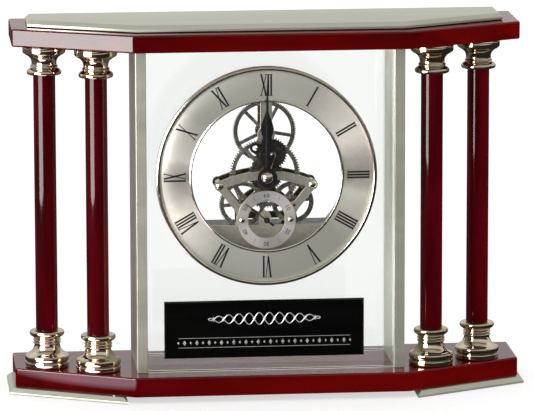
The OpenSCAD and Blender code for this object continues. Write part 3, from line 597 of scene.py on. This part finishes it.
def addOrnament():
    low, high = boxOf("name_plate")
    centre = (low + high) / 2

    def onFace(x, z):
        return Vector((centre.x + x * mm, low.y - plate["sunk"] * mm, centre.z + z * mm))

    bm = bmesh.new()
    for turn in (0, math.pi):
        points = []
        for i in range(twist["steps"] + 1):
            share = i / twist["steps"] - 0.5
            fade = math.cos(share * math.pi) ** twist["fade"]
            swing = math.sin(share * 2 * math.pi * twist["waves"] + turn)
            points.append(onFace(share * twist["across"], twist["up"] + swing * twist["wave"] * fade))
        drawnLine(bm, points, twist["line"])
    for i in range(-twist["beads"], twist["beads"] + 1):
        lozenge(bm, onFace(i * twist["across"] / twist["waves"] / 2, twist["up"]), *twist["bead"])
    wide, tall = row["lozenge"]
    for i in range(row["count"]):
        size = 1 if i % 2 else row["small"]
        at = onFace((i / (row["count"] - 1) - 0.5) * row["across"], row["up"])
        lozenge(bm, at, wide * size, tall * size)
    for side in (-1, 1):
        z = row["up"] + side * row["ruleAt"]
        drawnLine(bm, [onFace(-row["across"] / 2, z), onFace(row["across"] / 2, z)], row["rule"])
    addPiece("namePlateOrnament", bm, "engraving", "case")


addNamePlate()
addOrnament()
print("glass box and name plate made")

# Dial: radius and depth behind the hour ring's front face, in millimetres
dial = dict(
    bezel=[(53, 2.5), (53, -0.8), (53.1, -1.1), (53.35, -1.4), (53.75, -1.5), (54.15, -1.5), (54.4, -1.4),
           (54.5, -1.1), (54.6, -0.95), (54.8, -0.9), (54.95, -0.75), (55, -0.4), (55, 2.5)],
    rim=[(37.3, 1), (37.3, -0.3), (37.4, -0.55), (37.7, -0.7), (37.95, -0.7), (38.1, -0.6), (38.15, -0.35),
         (38.3, -0.25), (38.45, -0.2), (38.5, 0), (38.5, 1)],
    ring=[(38.5, 0), (52.4, 0), (52.5, 0.08), (52.7, 0.08), (52.8, 0), (53, 0), (53, 1), (38.5, 1)],
    case=[(46, 1), (53, 1), (53, 2.5), (48.5, 2.5), (48.5, 26.7), (48.2, 27), (46.3, 27), (46, 26.7)],
    gasket=[(48.5, 2.5), (49.6, 2.5), (49.6, 3.4), (49.35, 3.6), (49.35, 4.2), (49.6, 4.4), (49.6, 5.2),
            (49.35, 5.4), (49.35, 6), (49.6, 6.2), (49.6, 7.5), (50.5, 7.5), (50.7, 7.8), (50.7, 9.2),
            (50.4, 9.5), (48.5, 9.5)],
    seconds=[(9.3, 1.3), (9.4, 1.2), (14.5, 1.2), (14.6, 1.3), (14.6, 2), (9.3, 2)],
    cap=[(0, -7), (0.55, -6.97), (1.15, -6.82), (1.75, -6.55), (2.3, -6.15), (2.75, -5.65), (3.05, -5.1),
         (3.2, -4.7), (3.2, -4.6), (0, -4.6)])
for name, part, finish, node in (
        ("bezelRing", "bezel", "polishedTrim", "bezel"), ("innerRim", "rim", "polishedTrim", "inner_rim"),
        ("hourRing", "ring", "spunDialPaintedSheen", "hour_ring"), ("dialCase", "case", "caseBlack", "clock_case"),
        ("rubberBand", "gasket", "rubber", "case_gasket")):
    turnedPiece(name, [(dial[part], toBack(dialCentre))], finish, "case", (node,), steps=160, smooth=40)
turnedPiece(
    "secondsDial", [(dial["seconds"], toBack(secondsCentre))], "spunSecondsPaintedSheen", "case", ("seconds_ring",),
    steps=128)
turnedPiece(
    "handCap", [(dial["cap"], toBack(dialCentre))], "polishedTrim", "minute", ("hand_cap",), smooth=50)

# Numerals and marks, in millimetres
numerals = dict(
    words="XII I II III IIII V VI VII VIII IX X XI".split(), foot=40.4, top=51.0, thick=0.86, thin=0.42,
    serif=0.3, serifHalf=0.7, thickIn=0.4, thinIn=0.3, point=0.2, depth=0.06, serifDepth=0.05,
    wide=dict(I=1.42, V=3.2, X=3.2))
marks = dict(
    ticks=(5, 25, 35, 55), tick=(11.2, 13.4), tickWide=0.16, bar=0.9, barUp=9.95, barWide=0.3, depth=0.05,
    words=("60", "10", "20", "30", "40", "50"), size=3.0, up=12.1, face=1.2)


def stroke(bm, place, start, end, width, depth):
    run = Vector((end[0] - start[0], 0, end[1] - start[1]))
    middle = Vector(((start[0] + end[0]) / 2, 0, (start[1] + end[1]) / 2))
    turn = Matrix.Rotation(math.atan2(run.x, run.z), 4, "Y")
    size = Matrix.Diagonal((width * mm, depth * mm, run.length * mm, 1))
    bmesh.ops.create_cube(bm, size=1, matrix=place @ Matrix.Translation(middle * mm) @ turn @ size)


# Each letter is a list of its strokes (start, end, width), then the points where its serifs go
def letterParts(kind):
    look, half = numerals, numerals["wide"][kind] / 2
    low, high, thick, thin = look["foot"], look["top"], look["thick"], look["thin"]
    left, right = half - look["thickIn"], half - look["thinIn"]
    if kind == "I":
        return [((0, low), (0, high), thick)], [(0, low), (0, high)]
    if kind == "V":
        strokes = [((-left, high), (0, low + look["point"]), thick), ((right, high), (0, low), thin)]
        return strokes, [(-left, high), (right, high)]
    strokes = [((-left, high), (left, low), thick), ((right, high), (-right, low), thin)]
    return strokes, [(-left, high), (right, high), (-right, low), (left, low)]


def addNumerals():
    bm = bmesh.new()
    half = numerals["serifHalf"]
    for hour, word in enumerate(numerals["words"]):
        place = Matrix.Translation(dialCentre) @ Matrix.Rotation(math.radians(30 * hour), 4, "Y")
        x = -sum(numerals["wide"][kind] for kind in word) / 2
        for kind in word:
            x += numerals["wide"][kind] / 2
            strokes, serifs = letterParts(kind)
            for (startX, startZ), (endX, endZ), width in strokes:
                stroke(bm, place, (x + startX, startZ), (x + endX, endZ), width, numerals["depth"])
            for shift, z in serifs:
                start, end = (x + shift - half, z), (x + shift + half, z)
                stroke(bm, place, start, end, numerals["serif"], numerals["serifDepth"])
            x += numerals["wide"][kind] / 2
    addPiece("hourNumerals", bm, "blackHands", "case")


def addSecondsMarks():
    bm = bmesh.new()
    face = Matrix.Translation(secondsCentre + Vector((0, marks["face"] * mm, 0)))
    start, end = marks["tick"]
    for second in marks["ticks"]:
        place = face @ Matrix.Rotation(math.radians(6 * second), 4, "Y")
        stroke(bm, place, (0, start), (0, end), marks["tickWide"], marks["depth"])
    stroke(
        bm, face, (-marks["bar"], marks["barUp"]), (marks["bar"], marks["barUp"]), marks["barWide"],
        marks["depth"])
    for i, word in enumerate(marks["words"]):
        curve = bpy.data.curves.new("digits", "FONT")
        curve.body = word
        curve.size = marks["size"] * mm
        curve.align_x = curve.align_y = "CENTER"
        curve.extrude = marks["depth"] / 2 * mm
        curve.resolution_u = 3
        turn = Matrix.Rotation(math.radians(60 * i), 4, "Y") @ Matrix.Translation((0, 0, marks["up"] * mm))
        curveInto(bm, curve, face @ turn @ Matrix.Rotation(math.pi / 2, 4, "X"))
    addPiece("secondsMarks", bm, "blackHands", "case")


addNumerals()
addSecondsMarks()
print("dial made")

# Movement
screws = dict(
    large=[(0, -0.8), (0.5, -0.77), (1.0, -0.63), (1.5, -0.38), (1.85, -0.1), (2.0, 0.1), (0.9, 0.1),
           (0.9, 1.8), (0, 1.8)],
    small=[(0, -0.8), (0.45, -0.75), (0.85, -0.6), (1.2, -0.35), (1.45, -0.08), (1.5, 0.1), (0.9, 0.1),
           (0.9, 2.4), (0, 2.4)],
    bossAt=(23.1, -5), padAt=(12.1, -22.2), bossDeep=2.0, padDeep=1.2)


def addScrews():
    made = []
    for side in (-1, 1):
        for kind, at, deep in (("large", "bossAt", "bossDeep"), ("small", "padAt", "padDeep")):
            x, z = screws[at]
            made.append((screws[kind], toBack(dialCentre + Vector((side * x, screws[deep], z)) * mm)))
    turnedPiece("bridgeScrews", made, "polishedTrim", "case", ("bridge_screws",), steps=40, smooth=50)


addScrews()
for name, node, finish, width in (
        ("frontBridge", "front_bridge", "satinBridge", 0.18), ("upperBar", "upper_bar", "satinBridge", 0.18),
        ("rearPlate", "rear_plate", "bronzePlate", 0.18), ("chordPlate", "chord_plate", "satinChordPaintedLight", 0.12),
        ("bridgePillars", "pillars", "polishedTrim", 0.12),
        ("driveHousing", "drive_housing", "caseBlack", 0.25),
        ("centreWheel", "centre_wheel", "wheelMetal", 0.08),
        ("thirdWheel", "third_wheel", "wheelMetal", 0.06),
        ("upperWheel", "upper_wheel", "trainMetal", 0.06), ("sideWheel", "side_wheel", "trainMetal", 0.08),
        ("minuteHand", "minute_hand", "blackHands", 0.08), ("hourHand", "hour_hand", "blackHands", 0.09),
        ("secondHand", "second_hand", "blackHands", 0.05),
        ("settingKnob", "setting_knob", "caseBlack", 0.25),
        ("hourWheel", "hour_wheel", "motionWork", 0.05),
        ("minuteWheel", "minute_wheel", "motionWork", 0.05)):
    refined(name, node, finish, width)
for node, finish in (
        ("circuit_board", "boardGreen"), ("motor_coil", "copperWire"), ("motor_stator", "statorIron"),
        ("battery_contacts", "arborSteel"), ("centre_arbor", "arborSteel"), ("third_arbor", "arborSteel"),
        ("seconds_arbor", "arborSteel")):
    paint(node, finish)

# Battery cell: radius and distance from its flat end, in millimetres
cell = dict(
    profile=[(0, 0.25), (3.6, 0.25), (3.8, 0), (4.9, 0), (5.2, 0.3), (5.25, 0.8), (5.25, 42.6), (5.1, 43.2),
             (4.6, 43.5), (3.9, 43.4), (2.6, 43.1), (2.0, 43.2), (1.9, 44.2), (1.6, 44.5), (0, 44.5)],
    wrap=(0.02, 0.02, 0.022), band=(0.55, 0.24, 0.08), end=(0.62, 0.62, 0.60), roughness=(0.22, 0.36),
    wear=400, grain=900, depth=0.004)


def addCell():
    low, high = boxOf("battery")
    nodes, links, shader = startFinish("cellWrap", {"Metallic": 0.55, "Coat Weight": 0.4})
    place = objectPlace(nodes, links)
    along = rangeOn(nodes, links, splitOn(nodes, links, place)["X"], 0, 1, low.x, high.x)
    stops = [(0.0, cell["end"]), (0.012, cell["end"]), (0.02, cell["wrap"]), (0.70, cell["wrap"]),
             (0.71, cell["band"]), (0.965, cell["band"]), (0.975, cell["end"])]
    links.new(rampOn(nodes, links, along, stops), shader.inputs["Base Color"])
    worn = noiseOn(nodes, links, place, cell["wear"])
    links.new(rangeOn(nodes, links, worn, *cell["roughness"]), shader.inputs["Roughness"])
    bumpOn(nodes, links, noiseOn(nodes, links, place, cell["grain"]), shader, cell["depth"])
    end = Vector((low.x, (low.y + high.y) / 2, (low.z + high.z) / 2))
    place = Matrix.Translation(end) @ Matrix.Rotation(math.pi / 2, 4, "Y")
    turnedPiece("batteryCell", [(cell["profile"], place)], "cellWrap", "case", ("battery",), smooth=40)


addCell()
print("movement made")

# Floor, lights and world. The floor and the room look darker in polished parts than they light the clock.
floorLook = dict(
    size=30, drop=0.0002, glow=0.62, white=0.5, across=(-0.5, 0.1), away=(-2.3, -1.7), far=(0.9, 0.9, 0.9, 1),
    tones=[(0.0, (0.18, 0.14, 0.15)), (0.45, (0.08, 0.06, 0.06)), (0.8, (0.035, 0.03, 0.03)),
           (1.0, (0.03, 0.03, 0.026))])
# A pale pink patch close by on the left, which the base's cut corner mirrors
pinkPatch = dict(
    at=(-152, -78, 0), scale=(13, 22, 1), glow=6.0, colour=(0.95, 0.68, 0.88, 1), edge=(0.75, 1.0))
softbox = dict(at=(-440, -330, 190), target=(-90, -20, 180), size=(0.36, 0.36), power=7)
room = dict(
    sky=1.0, back=(-0.1, 0.35),
    open=[(0.0, (0.75, 0.75, 0.74)), (0.3, (0.70, 0.70, 0.69)), (0.6, (1.0, 1.0, 1.0)),
          (1.0, (0.9, 0.9, 0.9))],
    dark=[(0.0, (0.10, 0.06, 0.05)), (0.22, (0.05, 0.04, 0.035)), (0.34, (0.9, 0.88, 0.84)),
          (0.62, (0.8, 0.78, 0.75)), (0.74, (0.12, 0.10, 0.09)), (0.9, (0.6, 0.6, 0.58))])


def glowOn(nodes, links, colour, strength):
    glow = nodes.new("ShaderNodeEmission")
    for socket, value in ((glow.inputs["Color"], colour), (glow.inputs["Strength"], strength)):
        if isinstance(value, (tuple, float)):
            socket.default_value = value
        else:
            links.new(value, socket)
    return glow.outputs["Emission"]


def sumOn(nodes, links, first, second):
    both = nodes.new("ShaderNodeAddShader")
    links.new(first, both.inputs[0])
    links.new(second, both.inputs[1])
    return both.outputs["Shader"]


def addFloor():
    bm = bmesh.new()
    bmesh.ops.create_grid(bm, x_segments=1, y_segments=1, size=floorLook["size"] / 2)
    mesh = bpy.data.meshes.new("floor")
    bm.to_mesh(mesh)
    bm.free()
    floor = bpy.data.objects.new("floor", mesh)
    floor.location.z = -floorLook["drop"]
    scene.collection.objects.link(floor)
    material = bpy.data.materials.new("floor")
    material.use_nodes = True
    nodes, links = material.node_tree.nodes, material.node_tree.links
    nodes.remove(nodes["Principled BSDF"])
    white = nodes.new("ShaderNodeBsdfDiffuse")
    white.inputs["Color"].default_value = (*[floorLook["white"]] * 3, 1)
    plain = glowOn(nodes, links, (1.0, 1.0, 1.0, 1.0), floorLook["glow"])
    lit = sumOn(nodes, links, white.outputs["BSDF"], plain)
    at = splitOn(nodes, links, objectPlace(nodes, links))
    across = rangeOn(nodes, links, at["X"], 0, 1, *floorLook["across"])
    near = rampOn(nodes, links, across, floorLook["tones"])
    away = rangeOn(nodes, links, at["Y"], 1, 0, *floorLook["away"])
    dim = glowOn(nodes, links, mixOn(nodes, links, away, near, floorLook["far"]), 1.0)
    reach = nodes.new("ShaderNodeVectorMath")
    reach.operation = "LENGTH"
    patchAt = [v * mm for v in pinkPatch["at"]]
    links.new(objectPlace(nodes, links, pinkPatch["scale"], patchAt), reach.inputs[0])
    inside = rangeOn(nodes, links, reach.outputs["Value"], pinkPatch["glow"], 0, *pinkPatch["edge"])
    seen = sumOn(nodes, links, dim, glowOn(nodes, links, pinkPatch["colour"], inside))
    choose = nodes.new("ShaderNodeMixShader")
    links.new(mirroredOn(nodes, links), choose.inputs["Fac"])
    links.new(lit, choose.inputs[1])
    links.new(seen, choose.inputs[2])
    links.new(choose.outputs["Shader"], nodes["Material Output"].inputs["Surface"])
    mesh.materials.append(material)


def addSoftbox():
    data = bpy.data.lights.new("leftSoftbox", "AREA")
    data.shape = "RECTANGLE"
    data.size, data.size_y = softbox["size"]
    data.energy = softbox["power"]
    lamp = bpy.data.objects.new("leftSoftbox", data)
    scene.collection.objects.link(lamp)
    lamp.location = Vector(softbox["at"]) * mm
    away = Vector(softbox["at"]) - Vector(softbox["target"])
    lamp.rotation_euler = away.to_track_quat("Z", "Y").to_euler()
    lamp.visible_camera = False
    lamp.visible_diffuse = False


def addWorld():
    world = bpy.data.worlds.new("studio")
    scene.world = world
    world.use_nodes = True
    nodes, links = world.node_tree.nodes, world.node_tree.links
    background = nodes["Background"]
    place = nodes.new("ShaderNodeTexCoord")
    at = splitOn(nodes, links, place.outputs["Generated"])
    light = rampOn(nodes, links, at["Z"], room["open"])
    back = rangeOn(nodes, links, at["Y"], 0, 1, *room["back"])
    walls = mixOn(nodes, links, back, rampOn(nodes, links, at["Z"], room["dark"]), light)
    links.new(mixOn(nodes, links, mirroredOn(nodes, links), light, walls), background.inputs["Color"])
    background.inputs["Strength"].default_value = room["sky"]


addFloor()
addSoftbox()
addWorld()
scene.view_settings.view_transform = "Standard"
print("studio made")
